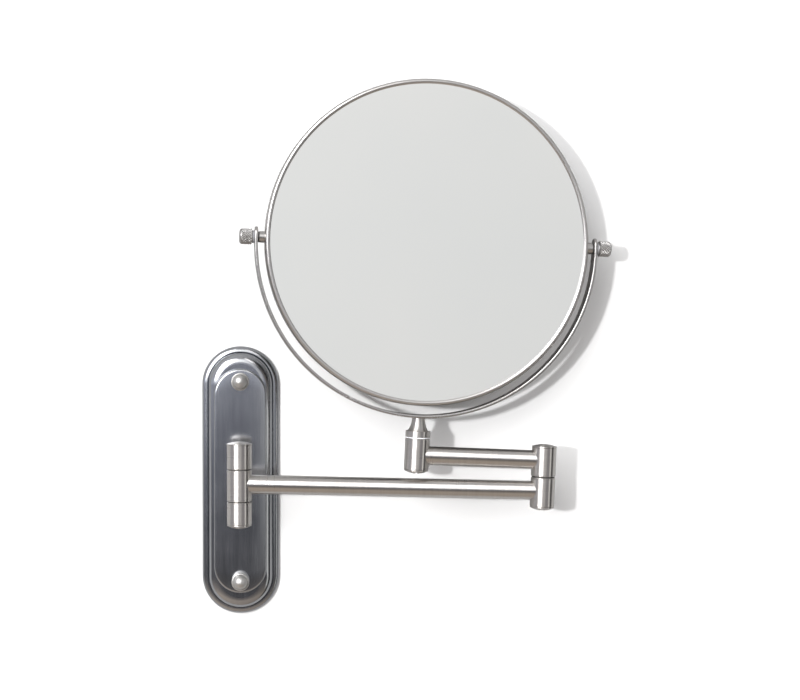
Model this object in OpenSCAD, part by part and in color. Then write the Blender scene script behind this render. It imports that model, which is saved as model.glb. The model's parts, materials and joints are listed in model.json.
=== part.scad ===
// Extendable wall mirror: a moulded wall plate, a two-arm linkage and a round two-sided mirror in a yoke.
// The origin is the centre of the plate's wall face, +X runs along the long arm, -Y faces the user, +Z is up.

/* [Wall plate] */
// Width of the wall plate
plate_w = 49; // [46:0.5:56]
// Height of the wall plate
plate_h = 171.5; // [165:0.5:190]
// How far the plate's centre panel stands from the wall
plate_depth = 12; // [11:0.5:15]
// Thickness of the pressed sheet
sheet_t = 1.2; // [0.8:0.1:1.4]
// Distance between the two cap nuts
nut_spacing = 127; // [118:0.5:128]
// Distance between the two wall screws
wall_screw_spacing = 90; // [70:5:100]
// Diameter of the holes for the wall screws
wall_screw_d = 5.2; // [4:0.1:6]

/* [Hinges] */
// Distance from the wall to the axis of the wall hinge
hinge_out = 41; // [36:0.5:50]
// Diameter of the knuckles and sleeves
knuckle_d = 15.4; // [14.5:0.1:18]
// Diameter of the hinge pins
pin_d = 6; // [5:0.1:6.5]
// Radial clearance of whatever turns on a pin
running_gap = 0.05; // [0.02:0.01:0.1]
// Height of the middle knuckle, which turns
middle_knuckle_h = 19.4; // [16:0.1:22]
// Height of the two sleeves at the elbow
elbow_sleeve_h = 18.1; // [16:0.1:20]
// Height of the sleeve that holds the yoke
post_sleeve_h = 19.7; // [17:0.1:22]

/* [Arms] */
// Distance between the axes of the wall hinge and the elbow
arm_1_len = 189.5; // [150:0.5:240]
// Distance between the axes of the elbow and the post
arm_2_len = 80; // [70:0.5:100]
// Diameter of the arm tubes
tube_d = 11.8; // [10:0.1:12.5]
// Wall thickness of the arm tubes
tube_wall = 1.2; // [0.8:0.1:2]

/* [Yoke and mirror] */
// Diameter of the mirror over its rim
mirror_d = 203; // [180:1:220]
// Depth of the mirror's rim
rim_depth = 13; // [12:0.5:16]
// Gap between the rim and the yoke
yoke_gap = 4.1; // [4:0.1:7]
// Width of the yoke's strip
strip_w = 9.6; // [8.5:0.1:12]
// Thickness of the yoke's strip
strip_t = 2.1; // [1.6:0.1:3]
// Height of the mirror's centre above the short arm
mirror_rise = 132.6; // [130:0.2:160]
// Diameter of the knurled knobs
knob_d = 9.8; // [8:0.1:14]
// Length of the knurled knobs
knob_len = 8; // [7:0.1:12]

/* [Rest pose] */
// Sag of the long arm below level
arm_1_fall = 1.6; // [0:0.1:3]
// Lean of the elbow's axis, and with it the sag of the short arm
elbow_lean = 2.4; // [0:0.1:3]
// Lean of the post's axis
post_lean = 2.9; // [0:0.1:3]
// Turn of the yoke about the post
yoke_turn = 4; // [0:0.5:20]
// How far round its own curve the yoke's strip sits off the post
yoke_skew = 1.2; // [0:0.1:2]

/* [Hidden] */
$fn = 96;

seat_gap = 0.02;            // radial gap where pieces of one body are pushed together
face_gap = 0.05;            // gap between faces that slide on each other
knuckle_r = knuckle_d / 2;
pin_r = pin_d / 2;
bush_r = pin_r + 1;
edge_break = 0.35;          // chamfer on the ends of knuckles and sleeves

// Wall plate
plate_span = plate_h - plate_w;             // distance between the centres of the round ends
shelf_h = plate_depth - 1.8;
panel_edge = 1.6;            // width of the rounded step round the panel
slope_inset = 4;            // where the slope up to the panel starts, in from the edge
shelf_inset = 11;           // where it levels out
panel_r = plate_w / 2 - 9.4;
panel_span = plate_h - 2 * 15.7 - 2 * panel_r;
crest_h = 4.6;
crease_h = 3.9;
strap_t = 2;
strap_w = 18;
strap_len = 148;
stud_d = 5;
nut_flange_r = 5.6;
nut_h = 11;
bar_t = 1.5;

// Wall hinge, from its middle
washer_h = 0.5;
washer_r = knuckle_r - 0.6;
middle_half = middle_knuckle_h / 2;
fixed_z = middle_half + face_gap + washer_h;
upper_knuckle_h = 15;
lower_knuckle_h = 14;
stem_z = fixed_z + 7.3;
stem_r = 4.5;
flange_r = 6.5;
flange_t = 1.6;
head_rim = 0.7;             // straight edge of a domed head
head_dome = 1.4;
tap_r = 1.9;                // shank of the screws that close the pins from below
tap_len = 9;

// Arms
tube_r = tube_d / 2;
arm_1_z = 1;                // height of the long tube's axis above the middle of its knuckle
arm_1_drop = 8.6;           // long tube's axis below the elbow's parting line
arm_2_rise = 10.6;          // short tube's axis above the elbow's parting line
elbow_washer_h = 0.8;
elbow_face = elbow_washer_h / 2 + face_gap;
post_top = 10.8;            // top of the post's sleeve above the short tube's axis
post_bottom = post_top - post_sleeve_h;
post_washer_h = 0.4;
screw_rim = 0.6;
screw_dome = 1.9;

// Yoke and mirror
mirror_r = mirror_d / 2;
strip_r = mirror_r + yoke_gap;
arc_drop = 1.6;             // the strip's curve is centred this far below the pivots
ear_top = 6.4;
collar_h = 4.1;
stud_r = 2;
stub_r = 3.6;
inner_washer_t = 0.8;
outer_washer_t = 1.2;
lip_r = mirror_r - 3.2;
channel_r = mirror_r - 1.3;
glass_t = 2.8;
lip_t = 1;
core_t = 1.5;
dish_depth = 2.6;           // how far the magnifying glass is dished
rim_crown = 1.7;             // the bead's crown, in from the rim's outside
rim_round = 2.4;             // depth of the bead's outer side
strip_round = 0.7;
knob_start = strip_r + strip_t + outer_washer_t + face_gap;

// A vector turned by angle a about +Y, which leans +Z towards +X
function leaned(a, v) = [v[0] * cos(a) + v[2] * sin(a), v[1], -v[0] * sin(a) + v[2] * cos(a)];
// Points along an elliptical arc from angle a to angle b
function arc(centre, rx, ry, a, b, n) =
    [for (i = [0:n]) let (t = a + (b - a) * i / n) centre + [rx * cos(t), ry * sin(t)]];

hinge_pos = [0, -hinge_out, 0];
elbow_pos = hinge_pos + [0, 0, arm_1_z] + leaned(arm_1_fall, [arm_1_len, 0, 0])
    + leaned(elbow_lean, [0, 0, arm_1_drop]);
post_pos = elbow_pos + leaned(elbow_lean, [-arm_2_len, 0, arm_2_rise]);

// Frames: each places its children at one station of the linkage
module at_wall() { rotate([90, 0, 0]) children(); }
module at_hinge() { translate(hinge_pos) children(); }
module at_arm_1() { translate(hinge_pos + [0, 0, arm_1_z]) rotate([0, arm_1_fall, 0]) children(); }
module at_elbow() { translate(elbow_pos) rotate([0, elbow_lean, 0]) children(); }
module at_post() { translate(post_pos) rotate([0, post_lean, 0]) rotate([0, 0, yoke_turn]) children(); }
module at_mirror() { at_post() translate([0, 0, mirror_rise]) rotate([0, -yoke_skew, 0]) children(); }
module at_strip_curve() { at_mirror() translate([0, 0, -arc_drop]) children(); }

// Shared shapes
module stadium(r, span, h) {
    translate([-r, -span / 2, 0]) cube([2 * r, span, h]);
    for (s = [-1, 1]) translate([0, s * span / 2, 0]) cylinder(r = r, h = h);
}

// A profile, drawn from the centre line outwards, carried round a stadium
module stadium_sweep(span) {
    for (a = [0, 180]) rotate([0, 0, a]) {
        translate([0, span / 2, 0]) rotate_extrude(angle = 180) children();
        rotate([90, 0, 0]) linear_extrude(height = span, center = true) children();
    }
}

// A cylinder from z0 to z1 with broken edges
module barrel(r, z0, z1, c = edge_break) {
    rotate_extrude() polygon([[0, z0], [r - c, z0], [r, z0 + c], [r, z1 - c], [r - c, z1], [0, z1]]);
}

module ring(r_out, r_in, z0, z1) {
    translate([0, 0, z0]) difference() {
        cylinder(r = r_out, h = z1 - z0);
        translate([0, 0, -1]) cylinder(r = r_in, h = z1 - z0 + 2);
    }
}

// A round head standing on z = 0: a straight edge, then a dome
module domed_head(r, rim, dome) {
    ball_r = (r * r + dome * dome) / (2 * dome);
    cylinder(r = r, h = rim);
    intersection() {
        translate([0, 0, rim + dome - ball_r]) sphere(r = ball_r);
        translate([0, 0, rim / 2]) cylinder(r = r, h = rim / 2 + dome);
    }
}

// A domed screw that closes a hinge from below, with its head under z = 0
module closing_screw(slotted) {
    difference() {
        rotate([180, 0, 0]) domed_head(knuckle_r - 0.2, screw_rim, screw_dome);
        if (slotted) translate([-0.8, -knuckle_r, -screw_rim - screw_dome - 1]) cube([1.6, knuckle_d, 2.2]);
    }
    cylinder(r = tap_r, h = tap_len);
}

// A hinge pin from z0 up to z1 with a domed head on top and a tapped end below
module headed_pin(z0, z1) {
    difference() {
        translate([0, 0, z0]) cylinder(r = pin_r, h = z1 - z0);
        translate([0, 0, z0 - 1]) cylinder(r = tap_r + seat_gap, h = tap_len + 2);
    }
    translate([0, 0, z1]) domed_head(knuckle_r + 0.15, head_rim, head_dome);
}

// A straight tube along +X from 0 to len, with its bore
module tube(len) {
    rotate([0, 90, 0]) ring(tube_r, tube_r - tube_wall, 0, len);
}

// Fixed to the wall
module back_plate() {
    half_w = plate_w / 2;
    rim_outer = concat(
        [[half_w, 0]],
        arc([half_w - 3.4, 1.2], 3.4, crest_h - 1.2, 0, 90, 7),
        arc([half_w - shelf_inset, crease_h], shelf_inset - slope_inset, shelf_h - crease_h, 0, 90, 14));
    rim_inner = concat(
        arc([half_w - shelf_inset, crease_h + 0.2], shelf_inset - slope_inset - sheet_t,
            shelf_h - sheet_t - crease_h - 0.2, 90, 0, 10),
        [[half_w - slope_inset - sheet_t, crease_h - 0.7], [half_w - 3.6, crease_h - 0.9],
        [half_w - 2.2, crease_h - 1.3], [half_w - sheet_t, 1.2], [half_w - sheet_t, 0]]);
    panel_profile = concat(
        [[0, shelf_h - sheet_t], [panel_r + panel_edge, shelf_h - sheet_t]],
        arc([panel_r, shelf_h], panel_edge, plate_depth - shelf_h, 0, 90, 8),
        [[0, plate_depth]]);
    color("slategray") at_wall() difference() {
        union() {
            stadium_sweep(plate_span)
                polygon(concat(rim_outer, rim_inner));
            translate([0, 0, shelf_h - sheet_t]) stadium(half_w - shelf_inset + 0.05, plate_span, sheet_t);
            stadium_sweep(panel_span) polygon(panel_profile);
        }
        translate([0, 0, -1]) stadium(panel_r, panel_span, plate_depth - sheet_t + 1);
        for (s = [-1, 1]) {
            translate([0, s * nut_spacing / 2, 0]) cylinder(r = stud_d / 2 + 0.6, h = plate_depth + 1);
            translate([0, s * stem_z, 0]) cylinder(r = stud_d / 2 + 0.2, h = plate_depth + 1);
        }
    }
}

module wall_strap() {
    color("gainsboro") at_wall() difference() {
        stadium(strap_w / 2, strap_len - strap_w, strap_t);
        for (s = [-1, 1]) {
            translate([0, s * wall_screw_spacing / 2, -1]) cylinder(r = wall_screw_d / 2, h = strap_t + 2);
            translate([0, s * nut_spacing / 2, -1]) cylinder(r = stud_d / 2 + seat_gap, h = strap_t + 2);
        }
    }
}

module mounting_studs() {
    color("gainsboro") at_wall() for (s = [-1, 1]) translate([0, s * nut_spacing / 2, 0]) {
        cylinder(r = stud_d / 2, h = plate_depth + nut_h - 4);
        translate([0, 0, strap_t]) cylinder(r = 4, h = 1.8);
    }
}

module cap_nuts() {
    color("silver") at_wall() for (s = [-1, 1]) translate([0, s * nut_spacing / 2, plate_depth])
        difference() {
            rotate_extrude() polygon(concat(
                [[0, 0], [nut_flange_r - 0.3, 0], [nut_flange_r, 0.3]],
                arc([nut_flange_r - 0.6, 6.2], 0.6, 0.6, 0, 90, 4),
                [[nut_flange_r - 0.9, 6.4]],
                arc([0, 6.4], nut_flange_r - 1.0, nut_h - 6.4, 8, 90, 12)));
            translate([0, 0, -1]) cylinder(r = stud_d / 2 + seat_gap, h = nut_h - 2.5);
        }
}

module fixed_knuckle(z0, z1, z_stem) {
    at_hinge() difference() {
        union() {
            barrel(knuckle_r, z0, z1);
            translate([0, 0, z_stem]) rotate([-90, 0, 0]) {
                cylinder(r = stem_r, h = hinge_out - plate_depth);
                translate([0, 0, hinge_out - plate_depth - flange_t]) cylinder(r = flange_r, h = flange_t);
            }
        }
        translate([0, 0, z0 - 1]) cylinder(r = pin_r + seat_gap, h = z1 - z0 + 2);
        translate([0, hinge_out - plate_depth - 12, z_stem]) rotate([-90, 0, 0])
            cylinder(r = stud_d / 2, h = 13);
    }
}

module upper_knuckle() {
    color("silver") fixed_knuckle(fixed_z, fixed_z + upper_knuckle_h, stem_z);
}

module lower_knuckle() {
    color("silver") fixed_knuckle(-fixed_z - lower_knuckle_h, -fixed_z, -stem_z);
}

module backing_bar() {
    color("gainsboro") at_wall() translate([0, 0, plate_depth - sheet_t - bar_t]) difference() {
        stadium(6, 2 * stem_z, bar_t);
        for (s = [-1, 1]) translate([0, s * stem_z, -1]) cylinder(r = stud_d / 2 + 0.2, h = bar_t + 2);
    }
}

module knuckle_screws() {
    head_z = plate_depth - sheet_t - bar_t;
    color("gainsboro") at_wall() for (s = [-1, 1]) translate([0, s * stem_z, 0]) {
        translate([0, 0, head_z - 2.4]) cylinder(r = 4.4, h = 2.4);
        translate([0, 0, head_z - 1]) cylinder(r = stud_d / 2 - seat_gap, h = 13);
    }
}

module wall_hinge_pin() {
    color("silver") at_hinge() headed_pin(-fixed_z - lower_knuckle_h + 0.5, fixed_z + upper_knuckle_h);
}

module wall_hinge_screw() {
    color("silver") at_hinge() translate([0, 0, -fixed_z - lower_knuckle_h]) closing_screw(false);
}

module wall_hinge_washers() {
    color("dimgray") at_hinge() for (s = [0, 1]) mirror([0, 0, s])
        ring(washer_r, pin_r + seat_gap, middle_half + face_gap, fixed_z);
}

// Long arm
module arm_1_knuckle() {
    color("silver") at_hinge() difference() {
        barrel(knuckle_r, -middle_half, middle_half);
        translate([0, 0, -middle_half - 1]) cylinder(r = bush_r + seat_gap, h = middle_knuckle_h + 2);
    }
}

module arm_1_bush() {
    color("ivory") at_hinge() ring(bush_r, pin_r + running_gap, -middle_half, middle_half);
}

module arm_1_tube() {
    color("silver") difference() {
        at_arm_1() tube(arm_1_len);
        at_hinge() translate([0, 0, -middle_half]) cylinder(r = knuckle_r, h = middle_knuckle_h);
        at_elbow() translate([0, 0, -elbow_face - elbow_sleeve_h]) cylinder(r = knuckle_r, h = elbow_sleeve_h);
    }
}

module elbow_lower_sleeve() {
    color("silver") at_elbow() difference() {
        barrel(knuckle_r, -elbow_face - elbow_sleeve_h, -elbow_face);
        translate([0, 0, -elbow_face - elbow_sleeve_h - 1])
            cylinder(r = bush_r + seat_gap, h = elbow_sleeve_h + 2);
    }
}

module elbow_bush() {
    color("ivory") at_elbow()
        ring(bush_r, pin_r + running_gap, -elbow_face - elbow_sleeve_h, -elbow_face);
}

// Short arm
module elbow_upper_sleeve() {
    z0 = elbow_face - face_gap;
    color("silver") at_elbow() difference() {
        barrel(knuckle_r, z0, z0 + elbow_sleeve_h);
        translate([0, 0, z0 - 1]) cylinder(r = pin_r + seat_gap, h = elbow_sleeve_h + 2);
    }
}

module elbow_pin() {
    color("silver") at_elbow()
        headed_pin(-elbow_face - elbow_sleeve_h + 0.5, elbow_face - face_gap + elbow_sleeve_h);
}

module elbow_washer() {
    color("dimgray") at_elbow()
        ring(washer_r, pin_r + seat_gap, -elbow_face + face_gap, elbow_face - face_gap);
}

module elbow_screw() {
    color("silver") at_elbow() translate([0, 0, -elbow_face - elbow_sleeve_h - face_gap]) closing_screw(true);
}

module arm_2_tube() {
    z0 = elbow_face - face_gap;
    color("silver") difference() {
        at_elbow() translate([-arm_2_len, 0, arm_2_rise]) tube(arm_2_len);
        at_elbow() translate([0, 0, z0]) cylinder(r = knuckle_r, h = elbow_sleeve_h);
        at_post() translate([0, 0, post_bottom]) cylinder(r = knuckle_r, h = post_sleeve_h);
    }
}

module post_sleeve() {
    color("silver") at_post() difference() {
        barrel(knuckle_r, post_bottom, post_top);
        translate([0, 0, post_bottom - 1]) cylinder(r = bush_r + seat_gap, h = post_sleeve_h + 2);
    }
}

module post_bush() {
    color("ivory") at_post() ring(bush_r, pin_r + running_gap, post_bottom, post_top);
}

// Yoke
module yoke_stem() {
    collar_z = post_top + post_washer_h + face_gap;
    flare_z = collar_z + collar_h;
    flare_h = mirror_rise - arc_drop - strip_r - strip_t - flare_z;
    neck_r = strip_w / 2 - 0.7;
    trumpet = concat(
        [[0, flare_z - 1], [neck_r + 2.5, flare_z - 1]],
        arc([neck_r + 5, flare_z + flare_h], 5, flare_h / sin(60), 240, 180, 8),
        [[neck_r, flare_z + flare_h + 2], [0, flare_z + flare_h + 2]]);
    color("silver") difference() {
        at_post() union() {
            translate([0, 0, post_bottom + 0.5]) cylinder(r = pin_r, h = collar_z - post_bottom);
            barrel(knuckle_r, collar_z, flare_z, 0.25);
            rotate_extrude() polygon(trumpet);
        }
        at_post() translate([0, 0, post_bottom - 1]) cylinder(r = tap_r + seat_gap, h = tap_len + 3);
        at_strip_curve() rotate([90, 0, 0]) cylinder(r = strip_r + strip_t, h = 40, center = true);
    }
}

module post_washer() {
    z0 = post_top + face_gap;
    color("white") at_post() ring(washer_r + 0.35, pin_r + seat_gap, z0, z0 + post_washer_h);
}

module post_screw() {
    color("silver") at_post() translate([0, 0, post_bottom - face_gap]) closing_screw(true);
}

// Half of the strip's section, from its middle to one rounded edge
function strip_half(sign) =
    [for (q = concat(
        arc([strip_r + strip_t - strip_round, strip_w / 2 - strip_round], strip_round, strip_round, 0, 90, 4),
        arc([strip_r + strip_round, strip_w / 2 - strip_round], strip_round, strip_round, 90, 180, 4)))
        [q[0], sign * q[1]]];

module yoke_strip() {
    ear_z = arc_drop + ear_top - strip_w / 2;
    section = concat(strip_half(1), [for (i = [9:-1:0]) strip_half(-1)[i]]);
    ear_half = concat([[0, strip_r + strip_t]], [for (q = strip_half(1)) [q[1], q[0]]], [[0, strip_r]]);
    color("silver") at_strip_curve() difference() {
        union() {
            rotate([-90, 0, 0]) rotate_extrude(angle = 180) polygon(section);
            for (s = [0, 1]) mirror([s, 0, 0]) {
                linear_extrude(height = ear_z) polygon(section);
                translate([0, 0, ear_z]) rotate([90, 0, 90]) rotate_extrude(angle = 180) polygon(ear_half);
            }
        }
        translate([0, 0, arc_drop]) rotate([0, 90, 0])
            cylinder(r = stud_r + running_gap, h = 3 * strip_r, center = true);
    }
}

// Rings round the pivots, at distances a to b from the mirror's centre
module ear_rings(r, a, b) {
    at_mirror() for (s = [0, 1]) mirror([s, 0, 0]) rotate([0, 90, 0]) ring(r, stud_r + running_gap, a, b);
}

module inner_ear_washers() {
    color("dimgray") ear_rings(3.3, strip_r - inner_washer_t, strip_r - seat_gap);
}

module outer_ear_washers() {
    color("dimgray") ear_rings(3.9, strip_r + strip_t, strip_r + strip_t + outer_washer_t);
}

// Mirror
module mirror_rim() {
    half = rim_depth / 2;
    crown_r = mirror_r - rim_crown;
    edge = concat(
        arc([crown_r, half - lip_t], crown_r - lip_r, lip_t, 180, 96, 6),
        arc([crown_r, half - rim_round], rim_crown, rim_round, 90, 0, 10));
    back_edge = [for (i = [len(edge) - 1:-1:0]) [edge[i][0], -edge[i][1]]];
    color("silver") at_mirror() difference() {
        rotate([90, 0, 0]) rotate_extrude() polygon(concat(
            edge, back_edge, [[channel_r, lip_t - half], [channel_r, half - lip_t]]));
        rotate([0, 90, 0]) cylinder(r = stud_r + seat_gap, h = 3 * mirror_r, center = true);
    }
}

module front_glass() {
    z1 = rim_depth / 2 - lip_t;
    color("lightsteelblue") at_mirror() rotate([90, 0, 0])
        translate([0, 0, z1 - glass_t]) cylinder(r = channel_r - 0.3, h = glass_t);
}

module back_glass() {
    z0 = lip_t - rim_depth / 2;
    dish_r = (lip_r * lip_r + dish_depth * dish_depth) / (2 * dish_depth);
    color("lightsteelblue") at_mirror() rotate([90, 0, 0]) difference() {
        union() {
            translate([0, 0, z0]) cylinder(r = channel_r - 0.3, h = glass_t);
            intersection() {
                translate([0, 0, z0 + dish_depth - dish_r]) sphere(r = dish_r + glass_t);
                translate([0, 0, z0]) cylinder(r = lip_r, h = glass_t + dish_depth);
            }
        }
        translate([0, 0, z0 + dish_depth - dish_r]) sphere(r = dish_r);
    }
}

module core_disc() {
    z1 = rim_depth / 2 - lip_t - glass_t;
    color("tan") at_mirror() rotate([90, 0, 0])
        translate([0, 0, z1 - core_t]) cylinder(r = lip_r - 1.3, h = core_t);
}

// A trunnion: a collar that sits on the rim, a stud out through the ear and a riveted head inside the rim
module stud() {
    difference() {
        rotate([0, 90, 0]) translate([0, 0, mirror_r - 1])
            cylinder(r = stub_r, h = yoke_gap + 1 - inner_washer_t - face_gap);
        rotate([90, 0, 0]) cylinder(r = mirror_r, h = 20, center = true);
    }
    rotate([0, 90, 0]) {
        translate([0, 0, channel_r - 0.9]) cylinder(r = stud_r, h = knob_start + knob_len - 2.5 - channel_r + 0.9);
        translate([0, 0, channel_r - 0.9]) cylinder(r = stud_r + 0.4, h = 0.85);
    }
}

module left_stud() { color("silver") at_mirror() mirror([1, 0, 0]) stud(); }
module right_stud() { color("silver") at_mirror() stud(); }

// Clamping knobs
module knob() {
    knob_r = knob_d / 2;
    rotate([0, 90, 0]) difference() {
        translate([0, 0, knob_start]) rotate_extrude() polygon(concat(
            [[0, 0], [knob_r - 0.4, 0], [knob_r, 0.4]],
            arc([knob_r - 1.6, knob_len - 1.8], 1.6, 1.8, 0, 90, 7),
            [[0, knob_len]]));
        translate([0, 0, knob_start - 1]) cylinder(r = stud_r + running_gap, h = knob_len - 1);
    }
}

module left_knob() { color("silver") at_mirror() mirror([1, 0, 0]) knob(); }
module right_knob() { color("silver") at_mirror() knob(); }

back_plate();
wall_strap();
mounting_studs();
cap_nuts();
upper_knuckle();
lower_knuckle();
backing_bar();
knuckle_screws();
wall_hinge_pin();
wall_hinge_screw();
wall_hinge_washers();
arm_1_knuckle();
arm_1_bush();
arm_1_tube();
elbow_lower_sleeve();
elbow_bush();
elbow_upper_sleeve();
elbow_pin();
elbow_washer();
elbow_screw();
arm_2_tube();
post_sleeve();
post_bush();
yoke_stem();
post_washer();
post_screw();
yoke_strip();
inner_ear_washers();
outer_ear_washers();
mirror_rim();
front_glass();
back_glass();
core_disc();
left_stud();
right_stud();
left_knob();
right_knob();
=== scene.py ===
"""Looks for an extendable wall mirror: satin steel, knurled knobs, and a pale studio.

Everything is in metres, in the CAD model's frame: +X along the long arm, -Y to the user, +Z up.
"""
import json
import math

import bpy
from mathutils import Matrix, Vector


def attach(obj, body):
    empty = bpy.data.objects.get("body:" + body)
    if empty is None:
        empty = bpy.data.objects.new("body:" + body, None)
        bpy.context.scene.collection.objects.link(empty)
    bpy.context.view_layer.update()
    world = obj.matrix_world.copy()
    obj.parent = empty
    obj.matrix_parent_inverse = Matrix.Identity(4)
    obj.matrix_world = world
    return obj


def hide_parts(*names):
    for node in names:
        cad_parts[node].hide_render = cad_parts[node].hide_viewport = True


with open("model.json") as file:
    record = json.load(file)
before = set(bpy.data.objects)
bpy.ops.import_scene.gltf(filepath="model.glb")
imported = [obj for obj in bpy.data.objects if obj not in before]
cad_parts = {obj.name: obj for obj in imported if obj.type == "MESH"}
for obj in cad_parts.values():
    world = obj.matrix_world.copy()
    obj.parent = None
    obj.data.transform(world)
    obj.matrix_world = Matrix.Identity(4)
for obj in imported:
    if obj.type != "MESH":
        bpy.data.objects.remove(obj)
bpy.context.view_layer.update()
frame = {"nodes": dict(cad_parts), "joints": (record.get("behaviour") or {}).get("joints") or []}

nodes = frame["nodes"]
joints = {joint["name"]: joint for joint in frame["joints"]}

MM = 0.001
SHARP_EDGE = math.radians(24)       # edges that fold by more than this stay sharp
WELD_GAP = 0.002 * MM               # corners closer than this are one corner


# ---------------------------------------------------------------- shader helpers

class Tree:
    """A node tree that is written from left to right."""

    def __init__(self, node_tree):
        self.tree = node_tree
        node_tree.nodes.clear()

    def add(self, kind, inputs=None, **settings):
        """A node with its settings, and its inputs as values or as other nodes' outputs."""
        made = self.tree.nodes.new(kind)
        for key, value in settings.items():
            setattr(made, key, value)
        for key, value in (inputs or {}).items():
            self.set(made.inputs[key], value)
        return made

    def set(self, socket, value):
        if isinstance(value, bpy.types.NodeSocket):
            self.tree.links.new(value, socket)
        else:
            socket.default_value = value

    def math(self, operation, a, b=0.0, c=0.0):
        made = self.add("ShaderNodeMath", {0: a, 1: b, 2: c}, operation=operation)
        return made.outputs[0]

    def vector(self, operation, a, b=(0, 0, 0)):
        made = self.add("ShaderNodeVectorMath", {0: a, 1: b}, operation=operation)
        return made.outputs["Value" if operation == "DOT_PRODUCT" else "Vector"]

    def noise(self, coordinates, scale, detail=2.0, roughness=0.5):
        inputs = {"Vector": coordinates, "Scale": scale, "Detail": detail, "Roughness": roughness}
        return self.add("ShaderNodeTexNoise", inputs).outputs["Fac"]

    def spread(self, value, low, high):
        """Maps the middle of a noise, where most of its values lie, onto low to high."""
        inputs = {"Value": value, "From Min": 0.3, "From Max": 0.7, "To Min": low, "To Max": high}
        return self.add("ShaderNodeMapRange", inputs).outputs["Result"]

    def mix(self, factor, a, b):
        made = self.add("ShaderNodeMix", data_type="RGBA")
        self.set(made.inputs["Factor"], factor)
        self.set(made.inputs["A"], a)
        self.set(made.inputs["B"], b)
        return made.outputs["Result"]


def rgb(red, green, blue):
    return (red, green, blue, 1.0)


def scaled(color, factor):
    """A color made darker or paler, and never brighter than white."""
    return rgb(*(min(1.0, channel * factor) for channel in color))


def new_material(name):
    """A material with its tree, its principled shader and its output."""
    material = bpy.data.materials.new(name)
    material.use_nodes = True
    tree = Tree(material.node_tree)
    shader = tree.add("ShaderNodeBsdfPrincipled")
    output = tree.add("ShaderNodeOutputMaterial", {"Surface": shader.outputs[0]})
    return material, tree, shader, output


# ---------------------------------------------------------------- materials

def brushed(name, color, rough, stretch, grain, anisotropy=0.0, around=None, turn=0.0):
    """Satin steel, with brush lines drawn out along each axis that has a small stretch.

    Highlights smear round the axis that around names, or along it where turn is a quarter.
    """
    material, tree, shader, _ = new_material(name)
    place = tree.add("ShaderNodeTexCoord").outputs["Object"]
    drawn = tree.vector("MULTIPLY", place, stretch)
    fine = tree.noise(drawn, 2600.0, 3.0, 0.6)
    broad = tree.noise(drawn, 420.0, 2.0)
    smears = tree.noise(place, 38.0, 3.0)
    lines = tree.math("ADD", tree.math("MULTIPLY", fine, 0.6), tree.math("MULTIPLY", broad, 0.4))
    low, high = scaled(color, 1 - 0.10 * grain), scaled(color, 1 + 0.08 * grain)
    tree.set(shader.inputs["Base Color"], tree.mix(tree.spread(lines, 0, 1), low, high))
    brushing = tree.spread(lines, -0.05 * grain, 0.05 * grain)
    worn = tree.math("ADD", brushing, tree.spread(smears, -0.02, 0.03))
    tree.set(shader.inputs["Roughness"], tree.math("ADD", worn, rough))
    depth = {"Strength": 0.06 * grain, "Distance": 0.05 * MM, "Height": lines}
    bump = tree.add("ShaderNodeBump", depth)
    tree.set(shader.inputs["Normal"], bump.outputs["Normal"])
    shader.inputs["Metallic"].default_value = 1.0
    if around:
        shader.inputs["Anisotropic"].default_value = anisotropy
        shader.inputs["Anisotropic Rotation"].default_value = turn
        tangent = tree.add("ShaderNodeTangent", direction_type="RADIAL", axis=around)
        tree.set(shader.inputs["Tangent"], tangent.outputs["Tangent"])
    return material


def plain(name, low, high, rough, scale, bump_mm=0.02, metallic=0.0):
    """Moulded plastic, board or plated steel, with a mottled tone and a faint grain."""
    material, tree, shader, _ = new_material(name)
    place = tree.add("ShaderNodeTexCoord").outputs["Object"]
    cloud = tree.noise(place, scale, 4.0, 0.6)
    tone = tree.mix(tree.spread(cloud, 0, 1), rgb(*low), rgb(*high))
    tree.set(shader.inputs["Base Color"], tone)
    tree.set(shader.inputs["Roughness"], tree.spread(cloud, rough - 0.05, rough + 0.05))
    depth = {"Strength": 0.3, "Distance": bump_mm * MM, "Height": cloud}
    bump = tree.add("ShaderNodeBump", depth)
    tree.set(shader.inputs["Normal"], bump.outputs["Normal"])
    shader.inputs["Metallic"].default_value = metallic
    return material


def silvered_glass():
    """Mirror glass: a clear reflection with a trace of haze and a cool tone."""
    material, tree, shader, _ = new_material("silvered_glass")
    place = tree.add("ShaderNodeTexCoord").outputs["Object"]
    haze = tree.noise(place, 9.0, 3.0)
    tone = tree.mix(tree.spread(haze, 0, 1), rgb(0.88, 0.89, 0.885), rgb(0.91, 0.91, 0.90))
    tree.set(shader.inputs["Base Color"], tone)
    tree.set(shader.inputs["Roughness"], tree.spread(haze, 0.012, 0.03))
    shader.inputs["Metallic"].default_value = 1.0
    return material


# How the grain is stretched: round the X or the Z axis, along Z, or not at all.
ROUND_X = (1, 0.03, 0.03)
ROUND_Z = (0.03, 0.03, 1)
ALONG_Z = (1, 1, 0.02)
EVEN = (1, 1, 1)

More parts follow.
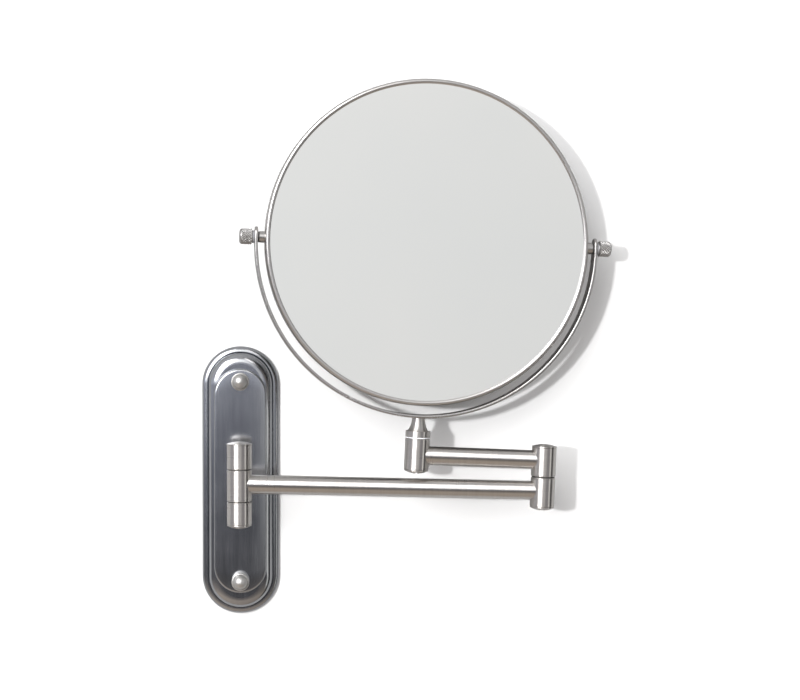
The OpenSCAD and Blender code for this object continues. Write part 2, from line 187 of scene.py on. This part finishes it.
QUARTER = 0.25                      # turns a highlight so that it smears along its axis
SATIN = (0.66, 0.635, 0.61)
materials = {
    "tube": brushed("tube_satin_steel", SATIN, 0.30, ROUND_X, 0.6, 0.95, "X", QUARTER),
    "knuckle": brushed(
        "knuckle_satin_steel", SATIN, 0.30, ROUND_Z, 0.6, 0.95, "Z", QUARTER,
    ),
    "plate": brushed(
        "plate_satin_steel", (0.47, 0.48, 0.50), 0.155, ALONG_Z, 0.6, 0.20, "Z",
    ),
    "nut": brushed("nut_satin_steel", (0.62, 0.61, 0.595), 0.46, EVEN, 0.4),
    "rim": brushed("rim_satin_steel", (0.66, 0.64, 0.62), 0.30, EVEN, 0.3),
    "yoke": brushed("yoke_satin_steel", (0.56, 0.545, 0.53), 0.26, EVEN, 0.25),
    "knurl": brushed("knurled_steel", (0.50, 0.49, 0.48), 0.36, EVEN, 0.4),
    "zinc": plain(
        "zinc_plated_steel", (0.58, 0.59, 0.60), (0.70, 0.71, 0.73), 0.38, 160, 0.01, 1.0,
    ),
    "dark_washer": plain(
        "dark_washer", (0.022, 0.021, 0.021), (0.04, 0.038, 0.037), 0.5, 900,
    ),
    "grey_washer": plain("grey_washer", (0.15, 0.15, 0.16), (0.24, 0.24, 0.25), 0.42, 900),
    "pale_washer": plain("pale_washer", (0.74, 0.76, 0.80), (0.84, 0.85, 0.87), 0.35, 900),
    "bush": plain("bush_plastic", (0.74, 0.72, 0.66), (0.82, 0.80, 0.74), 0.42, 700),
    "board": plain(
        "backing_board", (0.30, 0.22, 0.15), (0.42, 0.33, 0.24), 0.85, 420, 0.05,
    ),
    "glass": silvered_glass(),
}

FINISH = {
    "plate": ["back_plate"],
    "nut": ["cap_nuts"],
    "tube": ["arm_1_tube", "arm_2_tube"],
    "knuckle": [
        "upper_knuckle", "lower_knuckle", "wall_hinge_pin", "wall_hinge_screw",
        "arm_1_knuckle", "elbow_lower_sleeve", "elbow_upper_sleeve", "elbow_pin", "elbow_screw",
        "post_sleeve", "post_screw", "yoke_stem",
    ],
    "yoke": ["yoke_strip", "left_stud", "right_stud"],
    "rim": ["mirror_rim"],
    "glass": ["front_glass", "back_glass"],
    "zinc": ["wall_strap", "mounting_studs", "backing_bar", "knuckle_screws"],
    "dark_washer": ["wall_hinge_washers", "elbow_washer", "inner_ear_washers"],
    "grey_washer": ["outer_ear_washers"],
    "pale_washer": ["post_washer"],
    "bush": ["arm_1_bush", "elbow_bush", "post_bush"],
    "board": ["core_disc"],
}


def sharp_edge_nodes(angle):
    """Geometry nodes that shade a mesh smooth except across edges sharper than the angle."""
    group = bpy.data.node_groups.new("sharp_edges", "GeometryNodeTree")
    group.interface.new_socket("Geometry", in_out="INPUT", socket_type="NodeSocketGeometry")
    group.interface.new_socket("Geometry", in_out="OUTPUT", socket_type="NodeSocketGeometry")
    start = group.nodes.new("NodeGroupInput")
    end = group.nodes.new("NodeGroupOutput")
    edge_angle = group.nodes.new("GeometryNodeInputMeshEdgeAngle")
    compare = group.nodes.new("FunctionNodeCompare")
    compare.operation = "GREATER_THAN"
    compare.inputs["B"].default_value = angle
    smooth = group.nodes.new("GeometryNodeSetShadeSmooth")
    smooth.domain = "EDGE"
    invert = group.nodes.new("FunctionNodeBooleanMath")
    invert.operation = "NOT"
    link = group.links.new
    link(edge_angle.outputs["Unsigned Angle"], compare.inputs["A"])
    link(compare.outputs["Result"], invert.inputs[0])
    link(start.outputs["Geometry"], smooth.inputs["Geometry"])
    link(invert.outputs["Boolean"], smooth.inputs["Shade Smooth"])
    link(smooth.outputs["Geometry"], end.inputs["Geometry"])
    return group


sharp_edges = sharp_edge_nodes(SHARP_EDGE)


def keep_sharp_edges(piece):
    piece.modifiers.new("sharp edges", "NODES").node_group = sharp_edges


def finish_node(name, material):
    """Gives a CAD node its material, and shades it smooth except across real edges."""
    piece = nodes[name]
    piece.data.materials.clear()
    piece.data.materials.append(material)
    piece.data.shade_smooth()
    piece.modifiers.new("weld", "WELD").merge_threshold = WELD_GAP
    keep_sharp_edges(piece)


for finish, names in FINISH.items():
    for node_name in names:
        finish_node(node_name, materials[finish])

# The dished glass comes with a crooked normal at its centre, so its normals are worked out afresh.
dish_data = nodes["back_glass"].data
if "custom_normal" in dish_data.attributes:
    dish_data.attributes.remove(dish_data.attributes["custom_normal"])


# ---------------------------------------------------------------- knurled knobs

KNOB_GROOVES = 18                   # grooves round a knob, slanting each way
GROOVE_DEPTH = 0.5 * MM
NECK = 0.35 * MM                    # the plain step next to the ear
CORNER = 1.9 * MM                   # radius of the outer edge
STEPS_ROUND = 192
STEPS_ALONG = 64
CORNER_STEPS = 12


def knob_profile(length, radius, bore):
    """A knob's outline, from the bore round the outside to the middle of its outer face.

    Each point holds its distance along the knob, its radius, and how much of the knurl shows there.
    """
    points = [(length * 0.5, bore, 0.0), (0.0, bore, 0.0), (0.0, radius - 1.3 * MM, 0.0)]
    points += [(NECK * 0.8, radius - 1.25 * MM, 0.0), (NECK, radius - 0.75 * MM, 0.0)]
    start, end = NECK + 0.1 * MM, length - CORNER
    for i in range(STEPS_ALONG + 1):
        points.append((start + (end - start) * i / STEPS_ALONG, radius, min(1.0, i / 4)))
    for i in range(1, CORNER_STEPS + 1):
        angle = math.pi / 2 * i / CORNER_STEPS
        shown = max(0.0, 1 - 2 * i / CORNER_STEPS)
        in_by = CORNER * (1 - math.cos(angle))
        points.append((end + CORNER * math.sin(angle), radius - in_by, shown))
    return points + [(length, 0.6 * (radius - CORNER), 0.0), (length - 0.15 * MM, 0.0, 0.0)]


def knurl_height(turn, along, radius):
    """0 in a groove and 1 on a diamond's tip, from two families of slanting grooves."""
    pitch = 2 * math.pi * radius / KNOB_GROOVES
    both = []
    for sign in (-1, 1):
        phase = (turn * KNOB_GROOVES / (2 * math.pi) + sign * along / pitch) % 1.0
        both.append(abs(2 * phase - 1))
    return min(1.0, 1.5 * (1 - max(both)))


def turned_mesh(name, profile, radius, base, axis):
    """The profile turned round the axis, with the grooves cut in and both ends closed."""
    upright = (Vector((0, 0, 1)) - axis * axis.z).normalized()
    third = axis.cross(upright)
    verts, faces = [], []
    for distance, ring_radius, shown in profile[:-1]:
        for k in range(STEPS_ROUND):
            turn = 2 * math.pi * k / STEPS_ROUND
            depth = GROOVE_DEPTH * shown * (1 - knurl_height(turn, distance, radius))
            out = upright * math.cos(turn) + third * math.sin(turn)
            verts.append(base + axis * distance + out * (ring_radius - depth))
    last = len(verts) - STEPS_ROUND
    for ring in range(0, last, STEPS_ROUND):
        for k in range(STEPS_ROUND):
            a, b = ring + k, ring + (k + 1) % STEPS_ROUND
            faces.append((a, b, b + STEPS_ROUND, a + STEPS_ROUND))
    tip, floor = len(verts), len(verts) + 1
    verts += [base + axis * profile[-1][0], base + axis * profile[0][0]]
    for k in range(STEPS_ROUND):
        following = (k + 1) % STEPS_ROUND
        faces.append((last + k, last + following, tip))
        faces.append((following, k, floor))
    mesh = bpy.data.meshes.new(name)
    mesh.from_pydata(verts, [], faces)
    mesh.materials.append(materials["knurl"])
    mesh.shade_smooth()
    mesh.validate()
    return mesh


def make_knob(side):
    """One side's knurled clamping knob, as long and wide as its CAD node and facing outwards."""
    node = f"{side}_knob"
    axis = Vector(joints[f"{side}_knob_turn"]["axis"]).normalized()
    origin = Vector(joints[f"{side}_knob_turn"]["pos_m"])
    corners = [Vector(v.co) for v in nodes[node].data.vertices]
    along = [(co - origin).dot(axis) for co in corners]
    across = [((co - origin) - axis * a).length for co, a in zip(corners, along)]
    length, radius = max(along) - min(along), max(across)
    profile = knob_profile(length, radius, min(across))
    name = f"{side}_knurled_knob"
    mesh = turned_mesh(name, profile, radius, origin + axis * min(along), axis)
    knob = bpy.data.objects.new(name, mesh)
    bpy.context.scene.collection.objects.link(knob)
    keep_sharp_edges(knob)
    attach(knob, node)
    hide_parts(node)


for side in ("left", "right"):
    make_knob(side)


# ---------------------------------------------------------------- camera

CAMERA_AT = (0.0249, -1.1458, 0.1050)
CAMERA_YAW = 3.88                   # degrees to the right
CAMERA_PITCH = -1.09                # degrees above level

camera_data = bpy.data.cameras.new("camera")
camera_data.lens = 80
camera_data.sensor_width = 36
camera = bpy.data.objects.new("camera", camera_data)
camera.location = CAMERA_AT
camera.rotation_euler = (math.radians(90 + CAMERA_PITCH), 0, math.radians(-CAMERA_YAW))
bpy.context.scene.collection.objects.link(camera)
bpy.context.scene.camera = camera


# ---------------------------------------------------------------- studio

STAGE_SIZE = 6.0
MATT = 0.9                          # the stage's roughness
OBJECT_MIDDLE = Vector((0.08, -0.03, 0.05))
PLATE_HOLLOW = (0.017, 0.075)       # half the width and half the height, behind the wall plate


def direction(azimuth, elevation):
    """A unit vector from the object. Azimuth 0 is towards the user, and grows towards +X."""
    a, e = math.radians(azimuth), math.radians(elevation)
    return Vector((math.sin(a) * math.cos(e), -math.cos(a) * math.cos(e), math.sin(e)))


def stage_material(name, color, reflected):
    """A matt white that is dimmer in the metal. From behind, it's clear."""
    material, tree, shader, output = new_material(name)
    place = tree.add("ShaderNodeTexCoord").outputs["Object"]
    mottle = tree.noise(place, 30.0, 3.0)
    seen = tree.add("ShaderNodeLightPath").outputs["Is Camera Ray"]
    shown = tree.mix(mottle, scaled(color, 0.992), rgb(*color))
    tree.set(shader.inputs["Base Color"], tree.mix(seen, scaled(color, reflected), shown))
    shader.inputs["Roughness"].default_value = MATT
    shader.inputs["Specular IOR Level"].default_value = 0.1
    behind = tree.add("ShaderNodeNewGeometry").outputs["Backfacing"]
    clear = tree.add("ShaderNodeBsdfTransparent")
    mixed = tree.add("ShaderNodeMixShader", {0: behind, 1: shader.outputs[0], 2: clear.outputs[0]})
    tree.set(output.inputs["Surface"], mixed.outputs[0])
    return material


def stage_plane(name, center, normal, color, reflected, in_reflections, hole=(0, 0)):
    """A square backdrop that takes shadows, but neither tints the object nor hides a lamp.

    The hole, half its width and half its height, lets light into the hollow behind the plate.
    """
    mesh = bpy.data.meshes.new(name)
    half = STAGE_SIZE / 2
    verts = [
        (reach_x * x, reach_y * y, 0)
        for reach_x, reach_y in ((half, half), hole)
        for x, y in ((-1, -1), (1, -1), (1, 1), (-1, 1))
    ]
    faces = [(i, (i + 1) % 4, 4 + (i + 1) % 4, 4 + i) for i in range(4)]
    mesh.from_pydata(verts, [], faces)
    mesh.materials.append(stage_material(name, color, reflected))
    plane = bpy.data.objects.new(name, mesh)
    plane.location = center
    plane.rotation_euler = Vector(normal).to_track_quat("Z", "Y").to_euler()
    plane.visible_diffuse = False
    plane.visible_transmission = False
    plane.visible_shadow = False
    plane.visible_glossy = in_reflections
    bpy.context.scene.collection.objects.link(plane)


def lamp(name, azimuth, elevation, distance, width, power):
    """A square soft box that lights the object's middle, and that the metal doesn't show."""
    data = bpy.data.lights.new(name, "AREA")
    data.shape = "RECTANGLE"
    data.size = data.size_y = width
    data.energy = power
    made = bpy.data.objects.new(name, data)
    made.location = OBJECT_MIDDLE + direction(azimuth, elevation) * distance
    made.rotation_euler = (OBJECT_MIDDLE - made.location).to_track_quat("-Z", "Y").to_euler()
    made.visible_camera = False
    made.visible_glossy = False
    bpy.context.scene.collection.objects.link(made)


# The room by elevation in degrees, from straight down to straight up.
ROOM = [
    (-90, (0.62, 0.53, 0.46)),
    (-42, (0.58, 0.50, 0.43)),
    (-30, (0.34, 0.30, 0.27)),
    (-17, (0.19, 0.175, 0.17)),
    (-8, (0.06, 0.06, 0.065)),
    (-4, (0.17, 0.175, 0.20)),
    (1, (0.50, 0.515, 0.59)),
    (18, (0.46, 0.46, 0.48)),
    (90, (0.47, 0.465, 0.46)),
]
# The room is paler up and to the left, at right angles to the card that the mirror glass shows.
UP_LEFT = (direction(-76.5, 0) + Vector((0, 0, 1))).normalized()
UP_LEFT_GAIN = 0.45
# Cards in it: (azimuth, elevation), half width and height, soft edge (all in degrees), radiance.
CARDS = [
    ((-4, 28), (4, 11), (20, 6), (1.6, 1.6, 1.6)),                  # glow beside the window
    ((-30, 26), (16, 17), (5, 8), (6.0, 6.0, 6.0)),                 # window up on the left
    ((59, 0), (4, 22), (5, 12), (1.3, 1.3, 1.25)),                  # pale strip on the right
    ((84, -5), (8, 40), (8, 15), (0.05, 0.05, 0.05)),               # dark flag on the far right
    ((13.5, 1.5), (6.5, 8.5), (1.5, 1.5), (0.79, 0.79, 0.785)),     # what the mirror glass shows
]
SEEN_BACKGROUND = (0.93, 0.93, 0.93)


def studio_world():
    """What the metal reflects: the room with its cards. The camera sees a plain pale background."""
    world = bpy.data.worlds.new("studio")
    bpy.context.scene.world = world
    world.use_nodes = True
    tree = Tree(world.node_tree)
    towards = tree.add("ShaderNodeTexCoord").outputs["Generated"]
    split = tree.add("ShaderNodeSeparateXYZ", {0: towards}).outputs
    to_user = tree.math("MULTIPLY", split["Y"], -1.0)
    azimuth = tree.math("DEGREES", tree.math("ARCTAN2", split["X"], to_user))
    elevation = tree.math("DEGREES", tree.math("ARCSINE", split["Z"]))
    from_below = tree.math("MULTIPLY_ADD", elevation, 1 / 180, 0.5)
    ramp = tree.add("ShaderNodeValToRGB", {"Fac": from_below})
    elements = ramp.color_ramp.elements
    for height, color in ROOM[1:-1]:
        elements.new((height + 90) / 180).color = rgb(*color)
    elements[0].color, elements[-1].color = rgb(*ROOM[0][1]), rgb(*ROOM[-1][1])
    light = ramp.outputs["Color"]
    for center, half, soft, color in CARDS:
        share = 1.0
        for angle, middle, reach, fade in zip((azimuth, elevation), center, half, soft):
            off = tree.math("ABSOLUTE", tree.math("SUBTRACT", angle, middle))
            limits = {
                "Value": off, "From Min": reach, "From Max": reach + fade,
                "To Min": 1.0, "To Max": 0.0,
            }
            inside = tree.add("ShaderNodeMapRange", limits, interpolation_type="SMOOTHSTEP")
            share = tree.math("MULTIPLY", inside.outputs["Result"], share)
        light = tree.mix(share, light, rgb(*color))
    up_left = tree.vector("DOT_PRODUCT", towards, UP_LEFT)
    paler = tree.math("MULTIPLY_ADD", up_left, UP_LEFT_GAIN, 1.0)
    gain = tree.add("ShaderNodeCombineXYZ", {0: paler, 1: paler, 2: paler})
    light = tree.vector("MULTIPLY", light, gain.outputs[0])
    seen = tree.add("ShaderNodeLightPath").outputs["Is Camera Ray"]
    light = tree.mix(seen, light, rgb(*SEEN_BACKGROUND))
    background = tree.add("ShaderNodeBackground", {"Color": light, "Strength": 1.0})
    tree.add("ShaderNodeOutputWorld", {"Surface": background.outputs[0]})


stage_plane(
    "wall_backdrop", (0, 0.4 * MM, 0), (0, -1, 0), (0.60, 0.60, 0.60),
    reflected=0.42, in_reflections=True, hole=PLATE_HOLLOW,
)
stage_plane(
    "pale_floor", (0, -1.5, -0.60), (0, 0, 1), (0.62, 0.59, 0.56),
    reflected=1.0, in_reflections=False,
)
lamp("key", -23.5, 5, distance=2.6, width=0.12, power=60)
lamp("fill", 28, 15, distance=2.2, width=1.4, power=15)
studio_world()

bpy.context.scene.view_settings.view_transform = "Standard"
